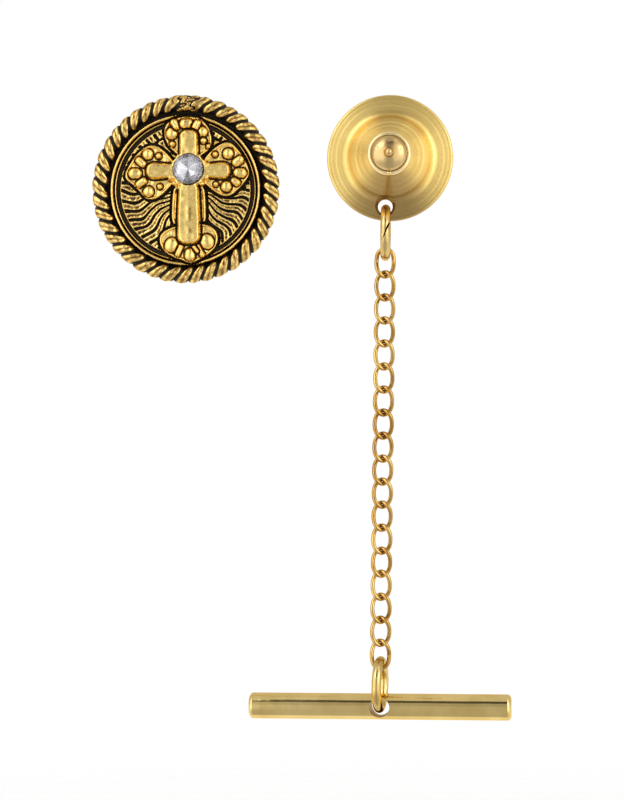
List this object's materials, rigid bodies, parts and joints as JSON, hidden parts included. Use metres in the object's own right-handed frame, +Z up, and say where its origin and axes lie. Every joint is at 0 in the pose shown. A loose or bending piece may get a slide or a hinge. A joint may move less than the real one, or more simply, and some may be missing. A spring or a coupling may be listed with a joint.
{
  "type": "tie tack",
  "caption": "Round rope-edged tack with a raised cross and a set crystal, with a spring ball-lock clutch, a curb chain and a T-bar.",
  "frame": {"origin": "centre of the clutch mouth, on the face that lies against the tie", "axes": "+Z up, opposite to the way the chain hangs; +Y out of the clutch mouth, towards the tie; +X to the right of a person who sees the tack face and the knob"},
  "size_m": [0.0393, 0.0242, 0.0577],
  "materials": {
    "antique_gold": "antiqued gold plate: bright on the relief, black in the recesses",
    "brushed_gold": "spun and brushed gold plate",
    "polished_gold": "polished gold plate",
    "polished_knob": "polished pale gold plate",
    "chain_gold": "polished warm gold plate",
    "plated_pin": "polished gold plate",
    "steel": "ground spring steel",
    "crystal": "faceted, foil-backed glass"
  },
  "bodies": {
    "clutch": {"clutch_base": "brushed_gold", "clutch_shell": "brushed_gold", "lock_seat": "steel", "clutch_spring": "steel"},
    "plunger": {"ball_cage": "steel", "knob": "polished_knob"},
    "lock_ball_1": {"lock_ball_1": "steel"},
    "lock_ball_2": {"lock_ball_2": "steel"},
    "lock_ball_3": {"lock_ball_3": "steel"},
    "upper_ring": {"upper_ring": "chain_gold"},
    "link_01": {"chain_link_01": "chain_gold"},
    "link_02": {"chain_link_02": "chain_gold"},
    "link_03": {"chain_link_03": "chain_gold"},
    "link_04": {"chain_link_04": "chain_gold"},
    "link_05": {"chain_link_05": "chain_gold"},
    "link_06": {"chain_link_06": "chain_gold"},
    "link_07": {"chain_link_07": "chain_gold"},
    "link_08": {"chain_link_08": "chain_gold"},
    "link_09": {"chain_link_09": "chain_gold"},
    "link_10": {"chain_link_10": "chain_gold"},
    "link_11": {"chain_link_11": "chain_gold"},
    "link_12": {"chain_link_12": "chain_gold"},
    "link_13": {"chain_link_13": "chain_gold"},
    "link_14": {"chain_link_14": "chain_gold"},
    "link_15": {"chain_link_15": "chain_gold"},
    "link_16": {"chain_link_16": "chain_gold"},
    "link_17": {"chain_link_17": "chain_gold"},
    "link_18": {"chain_link_18": "chain_gold"},
    "lower_ring": {"lower_ring": "chain_gold"},
    "toggle_bar": {"toggle_bar": "polished_gold"},
    "tack": {"medallion": "antique_gold", "rope_border": "antique_gold", "crystal": "crystal", "tack_pin": "plated_pin"}
  },
  "joints": [
    {"name": "knob_pull", "type": "slide", "parent": "clutch", "child": "plunger", "axis": [0, -1, 0], "range_m": [0, 0.0007], "stiffness_N_per_m": 500, "springref_m": -0.001, "deforming": ["clutch_spring"]},
    {"name": "lock_ball_1_out", "type": "slide", "parent": "plunger", "child": "lock_ball_1", "axis": [0, 0, 1], "range_m": [0, 0.00023]},
    {"name": "lock_ball_2_out", "type": "slide", "parent": "plunger", "child": "lock_ball_2", "axis": [-0.866, 0, -0.5], "range_m": [0, 0.00023]},
    {"name": "lock_ball_3_out", "type": "slide", "parent": "plunger", "child": "lock_ball_3", "axis": [0.866, 0, -0.5], "range_m": [0, 0.00023]},
    {"name": "upper_ring_swing", "type": "hinge", "parent": "clutch", "child": "upper_ring", "pos_m": [-0.0004, -0.00029, -0.00598], "axis": [0.9999, 0, -0.0122], "range_deg": [-27, 27]},
    {"name": "link_01_swing", "type": "hinge", "parent": "upper_ring", "child": "link_01", "pos_m": [-0.00043, -0.00029, -0.00884], "axis": [0, -1, 0], "range_deg": [-40, 40]},
    {"name": "link_02_swing", "type": "hinge", "parent": "link_01", "child": "link_02", "pos_m": [-0.00045, -0.00029, -0.01027], "axis": [-0.766, 0.6428, 0.0094], "range_deg": [-30, 30]},
    {"name": "link_03_swing", "type": "hinge", "parent": "link_02", "child": "link_03", "pos_m": [-0.00048, -0.00029, -0.01274], "axis": [-0.766, -0.6428, 0.0094], "range_deg": [-30, 30]},
    {"name": "link_04_swing", "type": "hinge", "parent": "link_03", "child": "link_04", "pos_m": [-0.0005, -0.00029, -0.01442], "axis": [0.766, -0.6428, -0.0094], "range_deg": [-30, 30]},
    {"name": "link_05_swing", "type": "hinge", "parent": "link_04", "child": "link_05", "pos_m": [-0.00053, -0.00029, -0.01689], "axis": [0.766, 0.6428, -0.0094], "range_deg": [-30, 30]},
    {"name": "link_06_swing", "type": "hinge", "parent": "link_05", "child": "link_06", "pos_m": [-0.00055, -0.00029, -0.01857], "axis": [-0.766, 0.6428, 0.0094], "range_deg": [-30, 30]},
    {"name": "link_07_swing", "type": "hinge", "parent": "link_06", "child": "link_07", "pos_m": [-0.00058, -0.00029, -0.02104], "axis": [-0.766, -0.6428, 0.0094], "range_deg": [-30, 30]},
    {"name": "link_08_swing", "type": "hinge", "parent": "link_07", "child": "link_08", "pos_m": [-0.0006, -0.00029, -0.02272], "axis": [0.766, -0.6428, -0.0094], "range_deg": [-30, 30]},
    {"name": "link_09_swing", "type": "hinge", "parent": "link_08", "child": "link_09", "pos_m": [-0.00063, -0.00029, -0.02519], "axis": [0.766, 0.6428, -0.0094], "range_deg": [-30, 30]},
    {"name": "link_10_swing", "type": "hinge", "parent": "link_09", "child": "link_10", "pos_m": [-0.00065, -0.00029, -0.02687], "axis": [-0.766, 0.6428, 0.0094], "range_deg": [-30, 30]},
    {"name": "link_11_swing", "type": "hinge", "parent": "link_10", "child": "link_11", "pos_m": [-0.00068, -0.00029, -0.02934], "axis": [-0.766, -0.6428, 0.0094], "range_deg": [-30, 30]},
    {"name": "link_12_swing", "type": "hinge", "parent": "link_11", "child": "link_12", "pos_m": [-0.00071, -0.00029, -0.03102], "axis": [0.766, -0.6428, -0.0094], "range_deg": [-30, 30]},
    {"name": "link_13_swing", "type": "hinge", "parent": "link_12", "child": "link_13", "pos_m": [-0.00074, -0.00029, -0.03349], "axis": [0.766, 0.6428, -0.0094], "range_deg": [-30, 30]},
    {"name": "link_14_swing", "type": "hinge", "parent": "link_13", "child": "link_14", "pos_m": [-0.00076, -0.00029, -0.03517], "axis": [-0.766, 0.6428, 0.0094], "range_deg": [-30, 30]},
    {"name": "link_15_swing", "type": "hinge", "parent": "link_14", "child": "link_15", "pos_m": [-0.00079, -0.00029, -0.03764], "axis": [-0.766, -0.6428, 0.0094], "range_deg": [-30, 30]},
    {"name": "link_16_swing", "type": "hinge", "parent": "link_15", "child": "link_16", "pos_m": [-0.00081, -0.00029, -0.03932], "axis": [0.766, -0.6428, -0.0094], "range_deg": [-30, 30]},
    {"name": "link_17_swing", "type": "hinge", "parent": "link_16", "child": "link_17", "pos_m": [-0.00084, -0.00029, -0.04179], "axis": [0.766, 0.6428, -0.0094], "range_deg": [-30, 30]},
    {"name": "link_18_swing", "type": "hinge", "parent": "link_17", "child": "link_18", "pos_m": [-0.00086, -0.00029, -0.04347], "axis": [-0.766, 0.6428, 0.0094], "range_deg": [-30, 30]},
    {"name": "lower_ring_swing", "type": "hinge", "parent": "link_18", "child": "lower_ring", "pos_m": [-0.00089, -0.00029, -0.04594], "axis": [0.9999, 0, -0.0122], "range_deg": [-35, 35]},
    {"name": "bar_tilt", "type": "hinge", "parent": "lower_ring", "child": "toggle_bar", "pos_m": [-0.00093, -0.00029, -0.04913], "axis": [-0.1392, -0.9903, 0.0017], "range_deg": [-60, 60]},
    {"name": "tack_turn", "type": "hinge", "parent": "clutch", "child": "tack", "pos_m": [-0.00973, 0.00911, -0.00094], "axis": [0.0967, 0, -0.9953], "range_deg": [0, 180]}
  ],
  "couplings": [
    {"joint": "lock_ball_1_out", "follows": "knob_pull", "ratio": 0.32492},
    {"joint": "lock_ball_2_out", "follows": "knob_pull", "ratio": 0.32492},
    {"joint": "lock_ball_3_out", "follows": "knob_pull", "ratio": 0.32492}
  ]
}
